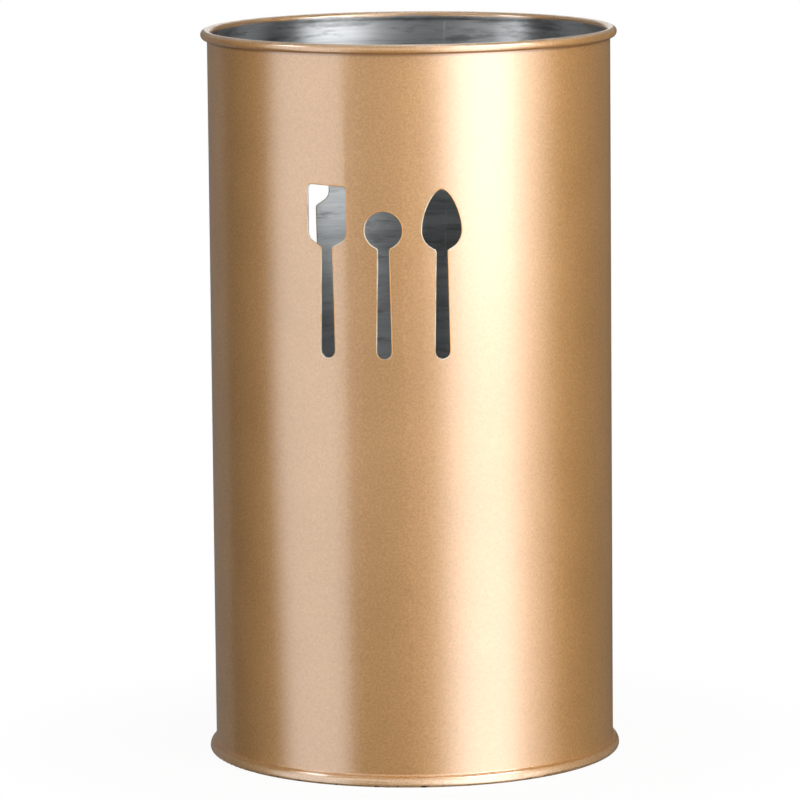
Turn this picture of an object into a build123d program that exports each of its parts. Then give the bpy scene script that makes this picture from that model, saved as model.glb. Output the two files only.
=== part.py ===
import os
from math import acos, cos, degrees, pi, radians, sin, tan

from build123d import *

# Can sizes in millimetres. Z is up, the origin is the centre of the foot and the front faces -Y.
overall_height = 180.0
body_inner_diameter = 98.4
body_sheet = 0.4
base_sheet = 0.4
layer_gap = 0.06

# Curled rim: its thickness, how far it stands out past the wall and the bend that leads into it
rim_curl_diameter = 2.4
rim_overhang = 1.62
rim_neck_radius = 1.0

# Lock seam down the back of the body: its width, the widths of sheet it takes up, its joggle and plain ends
lock_width = 5.0
lock_take_up = 3
joggle_angle = 60.0
joggle_radius = 0.5
joggle_lead = 0.7
lock_end_margin = 5.0

# Double seam round the foot: radii run along the middle of the sheet
seam_inner_corner = 0.5
seam_outer_corner = 0.7
seam_wall_radius = 1.9
seam_lean = 48.0
seam_fold_radius = 0.27
body_hook_length = 0.4

# Lining compound in the fold of the double seam
compound_height = 0.34
compound_foot = 0.36
compound_crest = 0.18

# Stamped panel of the base: heights from the ground to the middle of the sheet
panel_height = 3.4
panel_ring_depth = 0.7
panel_ring_margin = 7.4
panel_ring_width = 8.0
countersink_height = 5.0
countersink_width = 2.6
stamping_slope = 1.0
stamping_radius = 0.7

# Punched pictures, drawn on the flat sheet: heights from the ground, widths across
picture_pitch = 14.0
groups = 3
neck_height = 131.2
handle_end_height = 104.5
neck_width = 2.5
handle_end_width = 3.6
neck_fillet = 0.9
blade_width = 10.05
blade_top_height = 146.1
blade_top_slant = 0.5
blade_shoulder_rise = 2.1
blade_shoulder_radius = 2.5
blade_left_radius = 1.1
blade_right_radius = 0.6
bowl_diameter = 9.1
bowl_height = 135.5
oval_width = 9.65
oval_height = 135.4
oval_top_length = 9.9
oval_top_fullness = 0.43
oval_bottom_length = 4.8

# Radii and heights that follow from the sizes above
inner_radius = body_inner_diameter / 2
outer_radius = inner_radius + body_sheet
wall_radius = inner_radius + body_sheet / 2
layer_pitch = body_sheet + layer_gap

curl_radius = (rim_curl_diameter - body_sheet) / 2
curl_center_radius = outer_radius + rim_overhang - rim_curl_diameter / 2
curl_center_height = overall_height - rim_curl_diameter / 2
neck_angle = acos((curl_center_radius - wall_radius + rim_neck_radius) / (curl_radius + rim_neck_radius))
neck_start_height = curl_center_height - (curl_radius + rim_neck_radius) * sin(neck_angle)
curl_end_angle = acos((outer_radius + layer_gap - curl_center_radius) / (rim_curl_diameter / 2))
curl_sweep = 180 + degrees(neck_angle + curl_end_angle)

chuck_radius = inner_radius - layer_gap - base_sheet / 2
cover_hook_radius = outer_radius + layer_gap + base_sheet / 2
body_hook_radius = cover_hook_radius + base_sheet / 2 + layer_gap + body_sheet / 2
hook_bend_radius = (body_hook_radius - wall_radius) / 2
hook_bend_height = base_sheet + layer_gap + body_sheet / 2 + hook_bend_radius
body_hook_top = hook_bend_height + body_hook_length
lean_cosine = cos(radians(seam_lean))
seam_radius = (
    cover_hook_radius
    + seam_fold_radius * (1 + lean_cosine)
    + seam_wall_radius * (1 - lean_cosine)
)
seam_foot_width = seam_radius - seam_outer_corner - seam_inner_corner - chuck_radius
seam_top = (
    base_sheet
    + seam_outer_corner
    + (seam_wall_radius - seam_fold_radius) * sin(radians(seam_lean))
    + seam_fold_radius
)

lock_bottom = seam_top + lock_end_margin
lock_top = neck_start_height - lock_end_margin
blank_length = 2 * pi * wall_radius + lock_take_up * lock_width
group_angle = degrees(blank_length / groups / wall_radius)
picture_angle = degrees(picture_pitch / wall_radius)


def on_circle(radius, angle):
    """Point at an angle in degrees on a circle round the can's axis."""
    return Vector(radius * cos(radians(angle)), radius * sin(radians(angle)))


def along_circle(angle):
    """Direction along such a circle, anticlockwise from above."""
    return Vector(-sin(radians(angle)), cos(radians(angle)))


def wall_plane(angle):
    """Plane through the axis that looks out at an angle from the front, right being positive."""
    turn = radians(angle)
    return Plane(origin=(0, 0, 0), x_dir=(cos(turn), sin(turn), 0), z_dir=(sin(turn), -cos(turn), 0))


def blend_neck(picture):
    """Round the two inner corners where a picture's head runs into its handle."""
    corners = picture.vertices().filter_by_position(Axis.Y, handle_end_height + handle_end_width, bowl_height)
    fillet(corners.group_by(Axis.Y)[0], neck_fillet)


# Tapered handle with a round end, shared by the three pictures
with BuildSketch() as handle:
    end_center = handle_end_height + handle_end_width / 2
    Polygon(
        (-neck_width / 2, bowl_height),
        (-handle_end_width / 2, end_center),
        (handle_end_width / 2, end_center),
        (neck_width / 2, bowl_height),
        align=None,
    )
    with Locations((0, end_center)):
        Circle(handle_end_width / 2)

# Spatula: a blade with a slightly slanted top edge and rounded shoulders
with BuildSketch() as spatula:
    half_blade = blade_width / 2
    shoulder = neck_height + blade_shoulder_rise
    with BuildLine():
        FilletPolyline(
            (neck_width / 2, neck_height),
            (half_blade, shoulder),
            (half_blade, blade_top_height - blade_top_slant / 2),
            (-half_blade, blade_top_height + blade_top_slant / 2),
            (-half_blade, shoulder),
            (-neck_width / 2, neck_height),
            radius=(blade_shoulder_radius, blade_right_radius, blade_left_radius, blade_shoulder_radius),
        )
        Line((-neck_width / 2, neck_height), (neck_width / 2, neck_height))
    make_face()
    add(handle.sketch)
    blend_neck(spatula)

# Spoon with a round bowl
with BuildSketch() as round_spoon:
    with Locations((0, bowl_height)):
        Circle(bowl_diameter / 2)
    add(handle.sketch)
    blend_neck(round_spoon)

# Spoon with an egg-shaped bowl: long and pointed above its widest line, short and round below it
with BuildSketch() as oval_spoon:
    oval_tip = oval_height + oval_top_length
    with BuildLine():
        for half_width in (oval_width / 2, -oval_width / 2):
            Bezier(
                (half_width, oval_height),
                (half_width, oval_height + oval_top_fullness * oval_top_length),
                (half_width * oval_top_fullness, oval_tip),
                (0, oval_tip),
            )
        EllipticalCenterArc((0, oval_height), oval_width / 2, oval_bottom_length, 180, arc_size=180)
    make_face()
    add(handle.sketch)
    blend_neck(oval_spoon)

with BuildPart() as body_shell:
    # Wall with both edges of the sheet folded into each other at the back
    with BuildSketch(Plane.XY.offset(lock_bottom)):
        half_lock = degrees(lock_width / 2 / wall_radius)
        inner_fold = 90 - half_lock
        outer_fold = 90 + half_lock
        slope = radians(joggle_angle)
        joggle_middle = (2 * layer_pitch - layer_pitch / 2 * cos(slope)) / sin(slope)
        joggle_half = 3 * layer_pitch / tan(slope) / 2
        joggle_start = inner_fold - degrees((joggle_middle + joggle_half + joggle_lead) / wall_radius)
        joggle_end = inner_fold - degrees((joggle_middle - joggle_half - joggle_lead) / wall_radius)
        crest_radius = wall_radius + 3 * layer_pitch
        tuck = degrees(layer_gap / wall_radius)
        with BuildLine():
            CenterArc((0, 0), wall_radius, joggle_start, -90 - joggle_start)
            left_half = CenterArc((0, 0), wall_radius, -90, inner_fold - 270)
            JernArc(left_half @ 1, left_half % 1, layer_pitch, 180)
            CenterArc((0, 0), wall_radius + 2 * layer_pitch, inner_fold, 2 * half_lock - tuck)
            FilletPolyline(
                on_circle(wall_radius, joggle_start),
                on_circle(wall_radius, joggle_start) + along_circle(joggle_start) * joggle_lead,
                on_circle(crest_radius, joggle_end) - along_circle(joggle_end) * joggle_lead,
                on_circle(crest_radius, joggle_end),
                radius=joggle_radius,
            )
            crest = CenterArc((0, 0), crest_radius, joggle_end, outer_fold - joggle_end)
            JernArc(crest @ 1, crest % 1, layer_pitch, 180)
            CenterArc((0, 0), wall_radius + layer_pitch, outer_fold, tuck - 2 * half_lock)
        trace(line_width=body_sheet)
    extrude(amount=lock_top - lock_bottom)
    # Pictures punched through the wall, one group in front and the others spaced along the blank
    for group in range(groups):
        group_turn = (group - (groups - 1) / 2) * group_angle
        for place, picture in ((-1, spatula), (0, round_spoon), (1, oval_spoon)):
            with BuildSketch(wall_plane(group_turn + place * picture_angle)):
                add(picture.sketch)
            extrude(amount=outer_radius + rim_overhang, mode=Mode.SUBTRACT)
    # Foot of the wall with its outward hook
    with BuildSketch(Plane.XZ):
        with BuildLine():
            hook = Line((body_hook_radius, body_hook_top), (body_hook_radius, hook_bend_height))
            bend = JernArc(hook @ 1, hook % 1, hook_bend_radius, -180)
            Line(bend @ 1, (wall_radius, lock_bottom))
        trace(line_width=body_sheet)
    revolve(axis=Axis.Z)
    # Top of the wall, drawn in a little and curled outward into the rim
    with BuildSketch(Plane.XZ):
        with BuildLine():
            rise = Line((wall_radius, lock_top), (wall_radius, neck_start_height))
            neck = JernArc(rise @ 1, rise % 1, rim_neck_radius, degrees(neck_angle))
            JernArc(neck @ 1, neck % 1, curl_radius, -curl_sweep)
        trace(line_width=body_sheet)
    revolve(axis=Axis.Z)

with BuildPart() as base_end:
    sink_inner = chuck_radius - countersink_width
    ring_outer = sink_inner - stamping_slope - panel_ring_margin
    ring_inner = ring_outer - panel_ring_width
    ring_height = panel_height - panel_ring_depth
    with BuildSketch(Plane.XZ):
        with BuildLine():
            panel = FilletPolyline(
                (0, panel_height),
                (ring_inner, panel_height),
                (ring_inner + stamping_slope, ring_height),
                (ring_outer - stamping_slope, ring_height),
                (ring_outer, panel_height),
                (sink_inner - stamping_slope, panel_height),
                (sink_inner, countersink_height),
                (chuck_radius, countersink_height),
                (chuck_radius, base_sheet / 2 + seam_inner_corner),
                radius=stamping_radius,
            )
            inner_corner = JernArc(panel @ 1, panel % 1, seam_inner_corner, 90)
            foot = Line(inner_corner @ 1, inner_corner @ 1 + (seam_foot_width, 0))
            outer_corner = JernArc(foot @ 1, foot % 1, seam_outer_corner, 90)
            outside = JernArc(outer_corner @ 1, outer_corner % 1, seam_wall_radius, seam_lean)
            fold = JernArc(outside @ 1, outside % 1, seam_fold_radius, 180 - seam_lean)
            Line(fold @ 1, (cover_hook_radius, hook_bend_height + layer_gap))
        trace(line_width=base_sheet)
    revolve(axis=Axis.Z)

with BuildPart() as seam_compound:
    compound_inner = cover_hook_radius + base_sheet / 2 + layer_gap
    compound_bottom = body_hook_top + layer_gap
    with BuildSketch(Plane.XZ):
        Polygon(
            (compound_inner, compound_bottom),
            (compound_inner + compound_foot, compound_bottom),
            (compound_inner + compound_crest, compound_bottom + compound_height),
            (compound_inner, compound_bottom + compound_height),
            align=None,
        )
    revolve(axis=Axis.Z)

os.makedirs("parts", exist_ok=True)

body_shell.part.label = "body_shell"
export_step(body_shell.part, "parts/body_shell.step")

base_end.part.label = "base_end"
export_step(base_end.part, "parts/base_end.step")

seam_compound.part.label = "seam_compound"
export_step(seam_compound.part, "parts/seam_compound.step")
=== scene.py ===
import math

import bmesh
import bpy
import numpy as np
from mathutils import Matrix, Vector


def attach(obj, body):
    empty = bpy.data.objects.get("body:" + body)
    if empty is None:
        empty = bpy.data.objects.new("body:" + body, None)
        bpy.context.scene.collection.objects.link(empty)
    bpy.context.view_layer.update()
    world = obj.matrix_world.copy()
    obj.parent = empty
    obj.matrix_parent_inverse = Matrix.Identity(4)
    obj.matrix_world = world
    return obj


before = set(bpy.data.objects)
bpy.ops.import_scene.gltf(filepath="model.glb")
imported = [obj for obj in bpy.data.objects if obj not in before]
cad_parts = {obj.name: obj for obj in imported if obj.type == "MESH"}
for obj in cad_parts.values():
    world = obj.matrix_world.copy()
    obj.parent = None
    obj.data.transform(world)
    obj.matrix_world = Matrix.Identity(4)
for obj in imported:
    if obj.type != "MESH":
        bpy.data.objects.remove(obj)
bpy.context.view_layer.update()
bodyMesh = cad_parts["body_shell"]
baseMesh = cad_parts["base_end"]
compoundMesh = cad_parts["seam_compound"]
print("frame loaded:", sorted(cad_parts))


# sizes read from the frame, in millimetres because the patterns below are

def meshTriangles(thing):
    # corners of every triangle of a CAD mesh: triangles by corners by xyz
    points = np.empty(len(thing.data.vertices) * 3)
    thing.data.vertices.foreach_get("co", points)
    corners = np.empty(len(thing.data.loops), np.int64)
    thing.data.loops.foreach_get("vertex_index", corners)
    return points.reshape(-1, 3)[corners].reshape(-1, 3, 3) * 1000


def axisDistance(points):
    return np.hypot(points[..., 0], points[..., 1])


def awayFromAxis(points):
    # level unit vectors from the can's axis to each point
    level = np.stack([points[:, 0], points[:, 1], np.zeros(len(points))], 1)
    return level / axisDistance(points)[:, None]


bodyTriangles = meshTriangles(bodyMesh)
canTop = bodyTriangles[..., 2].max()
# the front of the wall, clear of the rim, the foot and the side seam
midHeight = abs(bodyTriangles[..., 2] / canTop - 0.5) < 0.45
frontWall = bodyTriangles[midHeight & (bodyTriangles[..., 1] < 0)]
innerRadius, outerRadius = axisDistance(frontWall).min(), axisDistance(frontWall).max()
middleRadius = (innerRadius + outerRadius) / 2
baseTriangles = meshTriangles(baseMesh)
seamTop = baseTriangles[axisDistance(baseTriangles) > outerRadius][:, 2].max()
seamRadius = axisDistance(baseTriangles).max()
print(f"wall radii {innerRadius:.2f} and {outerRadius:.2f} mm,"
      f" can top {canTop:.1f} mm, seam top {seamTop:.2f} mm")


# shader arithmetic

class Wire:
    # one socket; arithmetic on it adds Math nodes
    def __init__(self, board, socket):
        self.board = board
        self.socket = socket

    def math(self, operation, first, second):
        return self.board.node("ShaderNodeMath", {"operation": operation}, {0: first, 1: second})

    def __add__(self, other):
        return self.math("ADD", self, other)

    def __sub__(self, other):
        return self.math("SUBTRACT", self, other)

    def __rsub__(self, other):
        return self.math("SUBTRACT", other, self)

    def __mul__(self, other):
        return self.math("MULTIPLY", self, other)

    def __pow__(self, other):
        return self.math("POWER", self, other)

    def atLeast(self, other):
        return self.math("MAXIMUM", self, other)

    __radd__ = __add__
    __rmul__ = __mul__


class Board:
    # the node tree of one material or world
    def __init__(self, owner):
        owner.use_nodes = True
        self.tree = owner.node_tree
        self.tree.nodes.clear()

    def node(self, kind, settings, sockets, output=0):
        # any node: its settings first, then values or wires for its sockets; gives back one output
        made = self.tree.nodes.new(kind)
        for name, value in settings.items():
            setattr(made, name, value)
        for key, value in sockets.items():
            if isinstance(value, Wire):
                self.tree.links.new(value.socket, made.inputs[key])
            else:
                made.inputs[key].default_value = value
        return Wire(self, made.outputs[output]) if made.outputs else None

    def surface(self, shader, kind="Material"):
        self.node(f"ShaderNodeOutput{kind}", {}, {"Surface": shader})

    def place(self):
        return self.node("ShaderNodeTexCoord", {}, {}, "Object")

    def attribute(self, name):
        return self.node("ShaderNodeAttribute", {"attribute_name": name}, {}, "Fac")

    def blendColor(self, factor, first, second):
        sockets = {0: factor, 6: first, 7: second}
        return self.node("ShaderNodeMix", {"data_type": "RGBA"}, sockets, 2)

    def rise(self, value, low, high, shape="SMOOTHSTEP"):
        # step from 0 at low to 1 at high
        return self.node("ShaderNodeMapRange", {"interpolation_type": shape},
                         {"Value": value, "From Min": low, "From Max": high})

    def window(self, value, low, lowFull, highFull, high):
        # 0 outside low and high, 1 between the full values
        return self.rise(value, low, lowFull) * (1 - self.rise(value, highFull, high))

    def noise(self, vector, scale, detail, roughness=0.5):
        return self.node("ShaderNodeTexNoise", {}, {
            "Vector": vector, "Scale": scale, "Detail": detail, "Roughness": roughness})

    def stretched(self, vector, factors):
        return self.node("ShaderNodeVectorMath", {"operation": "MULTIPLY"}, {0: vector, 1: factors})

    def bump(self, height):
        return self.node("ShaderNodeBump", {}, {"Strength": 0.5, "Distance": 0.001, "Height": height})

    def directRays(self):
        # 1 for rays from the eye, or that reach it through a reflection or through glass
        path = self.node("ShaderNodeLightPath", {}, {}).socket.node.outputs
        eye, mirror, glass = (Wire(self, path[f"Is {kind} Ray"])
                              for kind in ("Camera", "Glossy", "Transmission"))
        return eye.atLeast(mirror).atLeast(glass)


def newMaterial(name):
    material = bpy.data.materials.new(name)
    return material, Board(material)


def color(red, green, blue):
    return (red, green, blue, 1.0)


# finishes

goldPaint = {
    "pale": color(0.832, 0.472, 0.187),
    "deep": color(0.655, 0.353, 0.121),
    "roughness": 0.60,
    "flake": 0.78,           # share of metal flake; the rest scatters like a plain pigment
    "grain": 2.0,            # speckle frequency, per millimetre
    "grainContrast": 2.6,
    "grainRoughness": 0.12,
    "grainRelief": 0.006,
    "cloud": 0.05,           # slow drift of the sprayed coat, per millimetre
    "cloudContrast": 0.7,
    "coatRoughness": 0.20,
    "coatIor": 2.8,
    "step": 0.06,            # millimetres either side of the sheet's middle where paint meets tin
    "insideReach": 1.05,     # millimetres that the paint runs down inside the rim
    "footReach": 1.6,        # millimetres that it runs up inside the foot
    "fringe": 0.4,           # millimetres either side of those ends over which it stops
    "slowWander": 1.2,       # millimetres that the ends wander, slowly and finely
    "fineWander": 0.8,
}
rawEdge = {
    "bright": color(0.93, 0.86, 0.74),
    "span": (94.0, 95.0, 155.0, 156.0),   # heights between which the wall is punched
    "innerSkin": (0.03, 0.08),            # millimetres from the wall's two faces
    "outerSkin": (0.12, 0.07),
}
paintWearAndPaintedLight = {
    "rubbed": color(0.97, 0.80, 0.60),    # paler along the top of the rim and round the foot seam: thinned paint and a painted highlight
    "rubbedShare": 0.55,
    "rubbedMottle": 0.3,
    "rimDepth": (0.8, 0.2),               # millimetres below the top where it starts and is full
    "ridgeDepth": (0.7, 0.1),             # the same, in from the foot seam's widest place
    "ridgeShare": 0.4,
    "creaseShade": color(0.36, 0.15, 0.05),    # painted shade in the corner under the rim
    "creaseShadeSpan": (3.1, 2.6, 2.2, 1.7),   # millimetres below the top
    "creaseShadeShare": 0.65,
    "chip": color(0.085, 0.055, 0.040),   # bruised places along the edge that the can stands on
    "chipSize": 0.45,                     # frequency, per millimetre
    "chipStep": (0.575, 0.61),
    "chipTop": (0.45, 0.75),              # heights in millimetres over which the chips end
}


def goldLayer(board, here, radius, z, grain, cloud):
    # speckled gold under a clear coat: bare in the cuts, paler on the rim and the foot seam (thinned
    # paint and a painted highlight), painted shade under the rim, and chipped at the foot
    cut = board.window(radius, *(innerRadius + skin for skin in rawEdge["innerSkin"]),
                       *(outerRadius - skin for skin in rawEdge["outerSkin"]))
    cut = cut * board.window(z, *rawEdge["span"])
    speckle = grain * goldPaint["grainContrast"] + cloud * goldPaint["cloudContrast"]
    gold = board.blendColor(speckle + 0.5, goldPaint["deep"], goldPaint["pale"])
    gold = board.blendColor(cut, gold, rawEdge["bright"])
    # painted highlight with thinned paint: paler along the rim's top and the foot seam's ridge
    crest = board.rise(z, *(canTop - drop for drop in paintWearAndPaintedLight["rimDepth"]))
    ridge = board.rise(radius, *(seamRadius - drop for drop in paintWearAndPaintedLight["ridgeDepth"]))
    ridge = ridge * (1 - board.rise(z, seamTop, seamTop + 1))
    rubbed = crest.atLeast(ridge * paintWearAndPaintedLight["ridgeShare"])
    rubbed = rubbed * (paintWearAndPaintedLight["rubbedShare"] + speckle * paintWearAndPaintedLight["rubbedMottle"])
    gold = board.blendColor(rubbed, gold, paintWearAndPaintedLight["rubbed"])
    # painted shade: the corner under the rim is darkened in the colour
    creaseShade = board.window(z, *(canTop - drop for drop in paintWearAndPaintedLight["creaseShadeSpan"]))
    gold = board.blendColor(creaseShade * paintWearAndPaintedLight["creaseShadeShare"], gold, paintWearAndPaintedLight["creaseShade"])
    chip = board.rise(board.noise(here, paintWearAndPaintedLight["chipSize"], 3.0, 0.7), *paintWearAndPaintedLight["chipStep"])
    chip = chip * (1 - board.rise(z, *paintWearAndPaintedLight["chipTop"]))
    gold = board.blendColor(chip, gold, paintWearAndPaintedLight["chip"])
    return board.node("ShaderNodeBsdfPrincipled", {}, {
        "Base Color": gold,
        "Metallic": goldPaint["flake"] + cut * (1 - goldPaint["flake"]),
        "Roughness": goldPaint["roughness"] + grain * goldPaint["grainRoughness"],
        "Specular IOR Level": 0.0,
        "Coat Weight": (1 - cut) * (1 - chip),
        "Coat Roughness": goldPaint["coatRoughness"],
        "Coat IOR": goldPaint["coatIor"],
        "Normal": board.bump(grain * goldPaint["grainRelief"])})


bareTin = {
    "bright": color(0.77, 0.79, 0.80),
    "dull": color(0.38, 0.395, 0.41),
    "roughness": 0.40,
    "brushing": 1.0,               # rolled round the can, so that reflections spread up and down
    "brushingTurn": 0.25,
    "smear": (0.03, 0.03, 0.35),   # smears lie round the can: slow across, quick upward
    "smearStep": (0.10, 0.72),
    "smearRoughness": 0.15,
    "scratch": (0.02, 0.02, 3.0),
    "scratchContrast": 0.5,
    "scratchRoughness": 0.06,
    "scratchRelief": 0.004,
    "smudge": (0.08, 0.08, 0.40),  # short dark smudges
    "smudgeStep": (0.48, 0.70),
    "smudgeShare": 0.62,
    "smudged": color(0.17, 0.175, 0.18),
}


def tinLayer(board, here):
    # rolled tinplate with smears, fine scratches and smudges
    smear = board.noise(board.stretched(here, bareTin["smear"]), 1.0, 4.0, 0.6)
    scratch = board.noise(board.stretched(here, bareTin["scratch"]), 1.0, 2.0) - 0.5
    smudge = board.noise(board.stretched(here, bareTin["smudge"]), 1.0, 4.0, 0.65)
    shine = board.rise(smear, *bareTin["smearStep"]) + scratch * bareTin["scratchContrast"]
    tin = board.blendColor(shine, bareTin["dull"], bareTin["bright"])
    soiled = board.rise(smudge, *bareTin["smudgeStep"]) * bareTin["smudgeShare"]
    tin = board.blendColor(soiled, tin, bareTin["smudged"])
    roughness = bareTin["roughness"] + (smear - 0.5) * bareTin["smearRoughness"]
    return board.node("ShaderNodeBsdfPrincipled", {}, {
        "Base Color": tin,
        "Metallic": 1.0,
        "Roughness": roughness + scratch * bareTin["scratchRoughness"],
        "Anisotropic": bareTin["brushing"],
        "Anisotropic Rotation": bareTin["brushingTurn"],
        "Normal": board.bump(scratch * bareTin["scratchRelief"])})


sideSeam = {
    "fold": -2.85,           # millimetres across the back between which the outer layer stands proud
    "crest": 3.03,
    "foot": 3.83,
    "proud": 1.38,
    "edge": 0.1,             # over which it begins and ends
    "low": seamTop + 5.0,
    "high": canTop - 7.5,
    "clear": 10.0,           # beyond this far from the back's middle there are no layers of it
}


def paintedTin(name, paintedAbove, paintedBelow):
    # tinplate sprayed gold outside; the paint also covers what is above one height and below another
    material, board = newMaterial(name)
    here = board.node("ShaderNodeVectorMath", {"operation": "SCALE"}, {0: board.place(), "Scale": 1000.0})
    split = board.node("ShaderNodeSeparateXYZ", {}, {0: here})
    x, y, z = (Wire(board, socket) for socket in split.socket.node.outputs)
    radius = (x * x + y * y) ** 0.5
    grain = board.noise(here, goldPaint["grain"], 3.0) - 0.5
    cloud = board.noise(here, goldPaint["cloud"], 2.0) - 0.5

    # the side seam's outer layer stands proud at the back, so the paint starts further out there
    edge, low, high = sideSeam["edge"], sideSeam["low"], sideSeam["high"]
    proud = board.rise(x, sideSeam["fold"] - edge, sideSeam["fold"] + edge)
    proud = proud * (1 - board.rise(x, sideSeam["crest"], sideSeam["foot"], "LINEAR"))
    proud = proud * board.rise(y, 0.0, 1.0) * board.window(z, low - edge, low, high, high + edge)
    depth = radius - proud * sideSeam["proud"]
    step, fringe = goldPaint["step"], goldPaint["fringe"]
    ragged = z + cloud * goldPaint["slowWander"] + grain * goldPaint["fineWander"]
    painted = board.rise(depth, middleRadius - step, middleRadius + step)
    painted = painted.atLeast(board.rise(ragged, paintedAbove - fringe, paintedAbove + fringe))
    painted = painted.atLeast(1 - board.rise(ragged, paintedBelow - fringe, paintedBelow + fringe))

    metal = tinLayer(board, here)
    paint = goldLayer(board, here, radius, z, grain, cloud)
    board.surface(board.node("ShaderNodeMixShader", {}, {0: painted, 1: metal, 2: paint}))
    return material


liningCompound = {
    "pale": color(0.20, 0.19, 0.17),
    "deep": color(0.11, 0.105, 0.10),
    "roughness": 0.62,
    "mottle": 900.0,         # frequency, per metre
    "mottleRoughness": 0.2,
}


def rubberLining(name):
    # grey sealing compound with a fine cast mottle
    material, board = newMaterial(name)
    mottle = board.noise(board.place(), liningCompound["mottle"], 3.0)
    board.surface(board.node("ShaderNodeBsdfPrincipled", {}, {
        "Base Color": board.blendColor(mottle, liningCompound["deep"], liningCompound["pale"]),
        "Roughness": liningCompound["roughness"] + (mottle - 0.5) * liningCompound["mottleRoughness"]}))
    return material


lipWearAndHighlight = {
    "pale": color(0.95, 0.86, 0.70),
    "deep": color(0.76, 0.44, 0.17),
    "paleRoughness": 0.42,
    "deepRoughness": 0.56,
    "patch": 250.0,          # frequency of the worn places, per metre
    "patchStep": (0.30, 0.6),
    "patchRoughness": 0.2,
    "rubbedStep": (-0.45, 0.4),
    "flakeLoss": 0.48,       # metal flake that goes with the paint
}


def lipWearAndHighlightPaint(name):
    # paler on the lower and left edges of each picture: worn patches together with a painted highlight
    # where those edges face the light; gold elsewhere
    material, board = newMaterial(name)
    worn = board.noise(board.place(), lipWearAndHighlight["patch"], 3.0)
    rubbed = board.rise(board.attribute("rubbed"), *lipWearAndHighlight["rubbedStep"])
    paleWearAndHighlight = board.rise(worn, *lipWearAndHighlight["patchStep"]) * rubbed
    gloss = lipWearAndHighlight["deepRoughness"] + paleWearAndHighlight * (lipWearAndHighlight["paleRoughness"] - lipWearAndHighlight["deepRoughness"])
    board.surface(board.node("ShaderNodeBsdfPrincipled", {}, {
        "Base Color": board.blendColor(paleWearAndHighlight, lipWearAndHighlight["deep"], lipWearAndHighlight["pale"]),
        "Metallic": goldPaint["flake"] - paleWearAndHighlight * lipWearAndHighlight["flakeLoss"],
        "Roughness": gloss + (worn - 0.5) * lipWearAndHighlight["patchRoughness"]}))
    return material


def keepValues(mesh, values):
    # one number for each point, for a material to read
    for label, value in values.items():
        attribute = mesh.attributes.new(label, "FLOAT", "POINT")
        attribute.data.foreach_set("value", np.ascontiguousarray(value, np.float32).ravel())


def dress(thing, material):
    thing.data.materials.clear()
    thing.data.materials.append(material)


# the body's paint runs in over the rim, the base's runs in under the foot
underGround = -10.0
bodyFinish = paintedTin("gold_painted_body", canTop - goldPaint["insideReach"], underGround)
baseFinish = paintedTin("gold_painted_base", canTop, goldPaint["footReach"])
dress(bodyMesh, bodyFinish)
dress(baseMesh, baseFinish)
dress(compoundMesh, rubberLining("seam_lining"))
print("finishes applied")


# small closed pieces on the metal: a lip round each punched picture, a fillet on the base seam
# and a stripe on the side seam

def paintPiece(name, points, faces, finish, slot, **values):
    # points in millimetres; doubles merged and faces turned outwards before the mesh is kept
    mesh = bpy.data.meshes.new(name)
    mesh.from_pydata((points.reshape(-1, 3) / 1000).tolist(), [], faces)
    keepValues(mesh, values)
    shell = bmesh.new()
    shell.from_mesh(mesh)
    bmesh.ops.remove_doubles(shell, verts=shell.verts, dist=1e-7)
    bmesh.ops.recalc_face_normals(shell, faces=shell.faces)
    shell.to_mesh(mesh)
    shell.free()
    mesh.polygons.foreach_set("use_smooth", np.ones(len(mesh.polygons), bool))
    piece = bpy.data.objects.new(name, mesh)
    bpy.context.scene.collection.objects.link(piece)
    dress(piece, finish)
    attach(piece, "root")


def gridIndex(points):
    # the number of each point of a grid of points
    return np.arange(points.shape[0] * points.shape[1]).reshape(points.shape[:2])


paintLip = {
    "halfWidth": 0.12,       # along the wall, in millimetres
    "halfHeight": 0.06,      # out from the wall
    "setBack": 0.08,         # from the cut to the middle of the lip
    "sides": 8,
    "facingLimit": 0.3,      # a cut's face looks along the wall, not out from it
    "tolerance": 0.03,       # millimetres
    "wearAndHighlightBelow": 0.75,       # how much paler the lip is below a picture, and to its left: wear and a painted highlight
    "wearAndHighlightLeft": 0.65,
}


def punchedOutlines():
    # the cuts' edges on the outside of the wall: their points, the way from each point into the
    # metal, and the pairs of points that the edges join
    first, second, third = bodyTriangles.transpose(1, 0, 2)
    facing = np.cross(second - first, third - first)
    facing /= np.maximum(np.linalg.norm(facing, axis=1, keepdims=True), 1e-12)
    center = bodyTriangles.mean(1)
    low, high = rawEdge["span"][1:3]
    punched = abs((facing * awayFromAxis(center)).sum(1)) < paintLip["facingLimit"]
    punched &= (center[:, 2] > low) & (center[:, 2] < high) & (axisDistance(center) < outerRadius)
    punched &= (abs(center[:, 0]) > sideSeam["clear"]) | (center[:, 1] < 0)
    corners = bodyTriangles[punched].reshape(-1, 3).round(4)
    spots, number = np.unique(corners, axis=0, return_inverse=True)
    number = number.reshape(-1, 3)
    starts, ends = number.ravel(), np.roll(number, -1, 1).ravel()
    towardHole = np.repeat(facing[punched], 3, 0)
    outside = axisDistance(spots) > outerRadius - paintLip["tolerance"]
    onOutline = outside[starts] & outside[ends]
    starts, ends, towardHole = starts[onOutline], ends[onOutline], towardHole[onOutline]
    intoMetal = np.zeros_like(spots)
    np.add.at(intoMetal, starts, -towardHole)
    np.add.at(intoMetal, ends, -towardHole)
    used = np.unique(starts)
    return spots[used], intoMetal[used], np.searchsorted(used, np.stack([starts, ends], 1))


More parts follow.
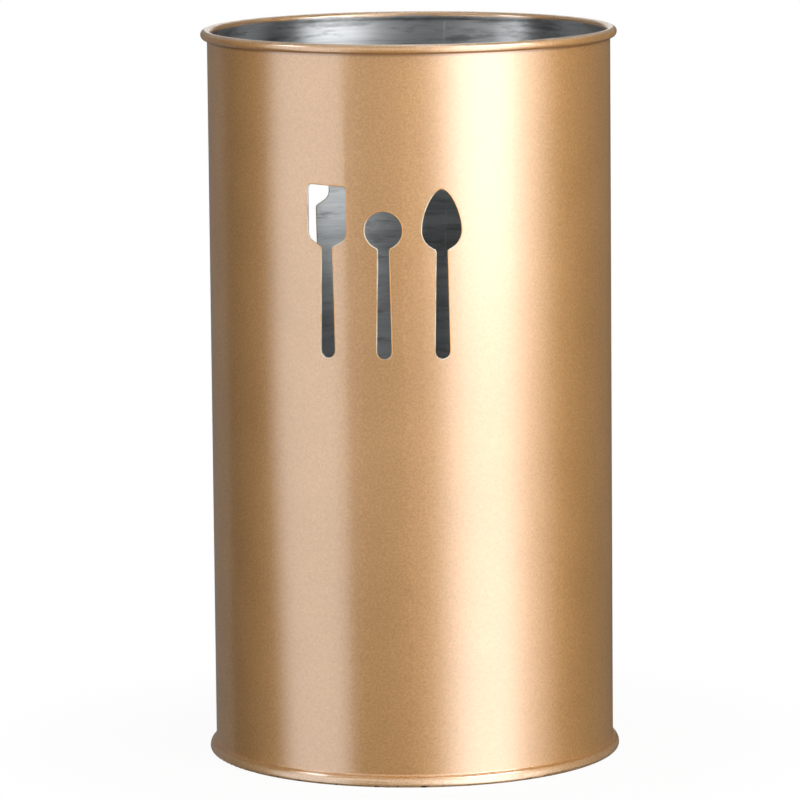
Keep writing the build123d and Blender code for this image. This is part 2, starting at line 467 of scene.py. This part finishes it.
def pictureLips():
    # an ellipse carried along every punched outline: its long axis lies on the wall, square to it
    spots, intoMetal, pairs = punchedOutlines()
    proud = awayFromAxis(spots)
    intoMetal -= proud * (intoMetal * proud).sum(1, keepdims=True)
    intoMetal /= np.linalg.norm(intoMetal, axis=1, keepdims=True)
    rightward = np.stack([-proud[:, 1], proud[:, 0]], 1)
    # paler on the lower and left edges, which face the light: a painted highlight, with wear
    rubbed = -paintLip["wearAndHighlightBelow"] * intoMetal[:, 2]
    rubbed -= paintLip["wearAndHighlightLeft"] * (intoMetal[:, :2] * rightward).sum(1)
    sides = paintLip["sides"]
    turn = np.arange(sides) * 2 * np.pi / sides
    along = paintLip["setBack"] + paintLip["halfWidth"] * np.cos(turn)
    points = spots[:, None] + along[None, :, None] * intoMetal[:, None]
    points = points + (paintLip["halfHeight"] * np.sin(turn))[None, :, None] * proud[:, None]
    ring = np.arange(sides)
    after = np.roll(ring, -1)
    start, end = pairs[:, :1] * sides, pairs[:, 1:] * sides
    faces = np.stack([start + ring, end + ring, end + after, start + after], -1)
    paintPiece("picture_lips", points, faces.reshape(-1, 4).tolist(), lipWearAndHighlightPaint("lip_wear_and_highlight"),
               "gold_paint", rubbed=np.repeat(rubbed, sides))


seamFillet = {
    "reach": 0.57,           # out from the wall over the top of the seam, in millimetres
    "rise": 0.5,             # up the wall
    "bury": 0.12,            # how deep its back lies in the metal
    "steps": 10,
    "turns": 256,
}


def baseSeamFillet():
    # a quarter ellipse, hollow outwards, from the wall down to the seam's top, turned round the axis
    bend = np.linspace(0, np.pi / 2, seamFillet["steps"])
    across = outerRadius + seamFillet["reach"] * (1 - np.cos(bend))
    height = seamTop + seamFillet["rise"] * (1 - np.sin(bend))
    inWall, inSeam = outerRadius - seamFillet["bury"], seamTop - seamFillet["bury"]
    across = np.append(across, [across[-1], inWall, inWall])
    height = np.append(height, [inSeam, inSeam, height[0]])
    turn = np.arange(seamFillet["turns"])[:, None] * 2 * np.pi / seamFillet["turns"]
    points = np.stack(np.broadcast_arrays(across * np.cos(turn), across * np.sin(turn), height), -1)
    index = gridIndex(points)
    beside, below = np.roll(index, -1, 0), np.roll(index, -1, 1)
    faces = np.stack([index, beside, np.roll(beside, -1, 1), below], -1)
    paintPiece("base_seam_fillet", points, faces.reshape(-1, 4).tolist(), baseFinish, "gold_paint_base")


sideStripe = {
    "from": 2.1,             # millimetres across the back, inside
    "to": 4.3,
    "columns": 111,
    "line": 2.75,            # where the lapped edge shows through
    "lineWidth": 0.16,
    "lineHeight": 0.035,
    "proud": 0.03,
    "bury": 0.10,
    "foot": 6.5,
    "top": canTop - 1.3,
    "rows": 301,
    "fade": 1.2,             # over which it sinks into the wall at each end
}


def sideSeamStripe():
    # the lacquer stripe inside over the side seam: nearly flush, with a fine bell-shaped ridge over
    # the lapped edge, sunk into the wall along its sides and at both ends
    across = np.linspace(sideStripe["from"], sideStripe["to"], sideStripe["columns"])
    height = np.linspace(sideStripe["foot"], sideStripe["top"], sideStripe["rows"])[:, None]
    bell = np.exp(-((across - sideStripe["line"]) / sideStripe["lineWidth"]) ** 2)
    shown = np.minimum(height - sideStripe["foot"], sideStripe["top"] - height) / sideStripe["fade"]
    shown = np.clip(shown, 0, 1) * (np.arange(len(across)) % (len(across) - 1) > 0)
    depth = innerRadius + sideStripe["bury"] - shown * (sideStripe["bury"] + sideStripe["proud"])
    face = depth - shown * sideStripe["lineHeight"] * bell
    behind = np.full((len(height), len(across) - 2), innerRadius + 2 * sideStripe["bury"])
    reach = np.concatenate([face, behind], 1)
    turn = np.append(across, across[::-1][1:-1]) / innerRadius
    points = np.stack(np.broadcast_arrays(reach * np.sin(turn), reach * np.cos(turn), height), -1)
    index = gridIndex(points)
    after = np.roll(index, -1, 1)
    faces = np.stack([index[:-1], after[:-1], after[1:], index[1:]], -1).reshape(-1, 4).tolist()
    ends = [index[0].tolist(), index[-1].tolist()]
    paintPiece("side_seam_stripe", points, faces + ends, bodyFinish, "gold_paint")


pictureLips()
baseSeamFillet()
sideSeamStripe()
print("lips, fillet and stripe made")


# stage: a pale floor and a light tent round it, neither of them part of the object

camera = {
    "azimuth": 7.5,          # degrees to the right of the can's front
    "distance": 1.4006,      # metres from the axis, along the floor
    "height": 0.2951,
    "yaw": -0.120,
    "pitch": 8.437,
    "roll": -0.54,
    "lens": 256.6,
    "sensor": 36.0,
}
studio = {
    "white": color(1, 1, 1),
    "worldLevel": 0.55,      # what diffuse rays get from the white surroundings
    "floorRadius": 0.6,
    "floorRings": 61,
    "floorSpokes": 145,
    "floorColor": color(0.85, 0.85, 0.85),
    "floorShadow": 0.05,     # how much of the real shading the floor keeps beside the can
    "floorFade": (55.0, 130.0),   # millimetres from the axis over which that goes
    "tentRadius": 0.40,
    "tentFoot": -0.50,
    "tentTop": 0.55,
    "domeTop": 0.66,
    "tentMouth": 0.02,       # radius at both ends
    "tentReach": 168,        # degrees to either side
    "tentRows": 35,
    "tentColumns": 135,
}
# levels of the tent's bands; azimuths in degrees to the right of the camera's own, heights in metres
tentLight = {
    "dark": 0.035,
    "ground": (-0.45, -0.25),     # the bands fade in over these heights
    "low": (-0.085, 0.05),        # under these heights three of them change
    "left": 1.15, "leftSpan": (-89, -71, -41, -30), "leftTop": (0.33, 0.40), "leftLean": 6,
    "right": 1.47, "rightSpan": (-1, 41, 47, 93), "rightTop": (0.27, 0.34),
    "core": 0.55, "coreSpan": (10, 30, 48, 68), "coreLow": 0.55,
    "upper": 0.55, "upperFoot": (0.03, 0.12),
    "front": 0.20, "frontSpan": (-45, -32, 0, 40), "frontLow": 0.1,
    "brow": 0.6, "browSpan": (-52, -38, 22, 36), "browHeight": (0.20, 0.26, 0.38, 0.44),
    "strip": 10.5, "stripSpan": (35, 37, 71, 77), "stripLean": 140,
    "leftStrip": 7.0, "leftStripSpan": (-84, -79, -66, -61),
    "stripHeight": (0.36, 0.40, 0.48, 0.51),
    "backLeft": 0.14, "backRight": 0.05, "backSpan": (118, 128),
    "ceiling": 0.05, "ceilingStep": (0.53, 0.56),
    "ceilingRight": 1.35, "ceilingRightSpan": (0, 25, 55, 75),
    "ceilingLeft": 0.5, "ceilingLeftSpan": (-110, -85, -50, -30),
}


def gridMesh(name, points, **values):
    # points is rows by columns by xyz; the values are kept as attributes for the gradients
    index = gridIndex(points)
    faces = np.stack([index[:-1, :-1], index[:-1, 1:], index[1:, 1:], index[1:, :-1]], -1)
    mesh = bpy.data.meshes.new(name)
    mesh.from_pydata(points.reshape(-1, 3).tolist(), [], faces.reshape(-1, 4).tolist())
    keepValues(mesh, values)
    thing = bpy.data.objects.new(name, mesh)
    bpy.context.scene.collection.objects.link(thing)
    return thing


def tentLevel(board, azimuth, height):
    # soft bands of light: one on the left, a wide one with a brighter core on the right, a high
    # strip over each, a dim front with a brow over it, dim back edges, and two parts of the ceiling
    light = tentLight
    low = 1 - board.rise(height, *light["low"])
    left = board.rise(azimuth - low * light["leftLean"], *light["leftSpan"][:2])
    left = left * (1 - board.rise(azimuth, *light["leftSpan"][2:]))
    left = left * (1 - board.rise(height, *light["leftTop"])) * light["left"]
    core = board.window(azimuth, *light["coreSpan"]) * (1 + low * light["coreLow"]) * light["core"]
    right = board.window(azimuth, *light["rightSpan"]) * light["right"] + core
    right = right * (1 + board.rise(height, *light["upperFoot"]) * light["upper"])
    right = right * (1 - board.rise(height, *light["rightTop"]))
    front = board.window(azimuth, *light["frontSpan"]) * (1 - low * (1 - light["frontLow"]))
    brow = board.window(azimuth, *light["browSpan"]) * board.window(height, *light["browHeight"])
    leaning = azimuth + (height - light["stripHeight"][1]) * light["stripLean"]
    strip = board.rise(leaning, *light["stripSpan"][:2])
    strip = strip * (1 - board.rise(azimuth, *light["stripSpan"][2:])) * light["strip"]
    strip = strip + board.window(azimuth, *light["leftStripSpan"]) * light["leftStrip"]
    strip = strip * board.window(height, *light["stripHeight"])
    back = board.rise(azimuth, *light["backSpan"]) * light["backRight"]
    back = back + board.rise(0 - azimuth, *light["backSpan"]) * light["backLeft"]
    bands = light["dark"] + left + right + strip + back
    bands = bands + front * light["front"] + brow * light["brow"]
    bands = bands * board.rise(height, *light["ground"])
    ceiling = light["ceiling"] + board.window(azimuth, *light["ceilingRightSpan"]) * light["ceilingRight"]
    ceiling = ceiling + board.window(azimuth, *light["ceilingLeftSpan"]) * light["ceilingLeft"]
    overhead = board.rise(height, *light["ceilingStep"])
    return bands * (1 - overhead) + ceiling * overhead


def lightTent():
    # azimuth across and a profile up: an upright wall, drawn in at both ends, open at the far side
    height = np.linspace(studio["tentFoot"], studio["tentTop"], studio["tentRows"])
    reach = np.full(len(height), studio["tentRadius"])
    reach = np.concatenate([[studio["tentMouth"]], reach, [studio["tentMouth"]]])[:, None]
    height = np.concatenate([height[:1], height, [studio["domeTop"]]])[:, None]
    azimuth = np.linspace(-studio["tentReach"], studio["tentReach"], studio["tentColumns"])
    turn = np.radians(azimuth + camera["azimuth"])
    x, y, height, azimuth = np.broadcast_arrays(
        np.sin(turn) * reach, -np.cos(turn) * reach, height, azimuth)
    thing = gridMesh("light_tent", np.stack([x, y, height], -1), azimuth=azimuth, height=height)
    thing.visible_camera = False
    material, board = newMaterial("light_tent")
    level = tentLevel(board, board.attribute("azimuth"), board.attribute("height"))
    board.surface(board.node("ShaderNodeEmission", {}, {"Color": studio["white"], "Strength": level}))
    dress(thing, material)


def paleFloor():
    # a flat disc: radius across, angle round; white for the eye with a trace of shade beside the
    # can, and clear to the tent's light
    rings = np.linspace(0.0, 1.0, studio["floorRings"]) ** 2 * studio["floorRadius"]
    reach, turn = np.meshgrid(rings, np.linspace(0, 2 * np.pi, studio["floorSpokes"]))
    points = np.stack([reach * np.cos(turn), reach * np.sin(turn), np.zeros_like(reach)], -1)
    thing = gridMesh("pale_floor", points, reach=reach * 1000)
    thing.visible_shadow = thing.visible_glossy = thing.visible_diffuse = False
    material, board = newMaterial("pale_floor")
    white = board.node("ShaderNodeEmission", {}, {"Color": studio["white"], "Strength": 1.0})
    plain = board.node("ShaderNodeBsdfDiffuse", {}, {"Color": studio["floorColor"]})
    shade = 1 - board.rise(board.attribute("reach"), *studio["floorFade"])
    board.surface(board.node("ShaderNodeMixShader", {}, {
        0: shade * studio["floorShadow"], 1: white, 2: plain}))
    dress(thing, material)


def whiteSurroundings():
    # white where the eye sees them or their reflection, dimmer for the light that they give
    world = bpy.data.worlds.new("white_surroundings")
    bpy.context.scene.world = world
    board = Board(world)
    level = board.directRays() * (1 - studio["worldLevel"]) + studio["worldLevel"]
    shader = board.node("ShaderNodeBackground", {}, {"Color": studio["white"], "Strength": level})
    board.surface(shader, "World")


def placeCamera():
    # stands at an azimuth, distance and height, and looks at the can's axis but for a small yaw,
    # pitch and roll
    azimuth, yaw, pitch, roll = (
        math.radians(camera[key]) for key in ("azimuth", "yaw", "pitch", "roll"))
    ahead = Vector((-math.sin(azimuth), math.cos(azimuth), 0))
    aside = Vector((math.cos(azimuth), math.sin(azimuth), 0))
    looking = (aside * math.sin(yaw) + ahead * math.cos(yaw)) * math.cos(pitch)
    looking -= Vector((0, 0, math.sin(pitch)))
    level = aside * math.cos(yaw) - ahead * math.sin(yaw)
    upright = level.cross(looking)
    right = level * math.cos(roll) + upright * math.sin(roll)
    up = upright * math.cos(roll) - level * math.sin(roll)
    eye = bpy.data.objects.new("camera", bpy.data.cameras.new("camera"))
    eye.data.lens = camera["lens"]
    eye.data.sensor_width = camera["sensor"]
    turned = Matrix((right, up, -looking)).transposed().to_4x4()
    place = ahead * -camera["distance"] + Vector((0, 0, camera["height"]))
    eye.matrix_world = Matrix.Translation(place) @ turned
    bpy.context.scene.collection.objects.link(eye)
    bpy.context.scene.camera = eye


paleFloor()
lightTent()
whiteSurroundings()
placeCamera()
bpy.context.scene.view_settings.view_transform = "Standard"
print("stage set")
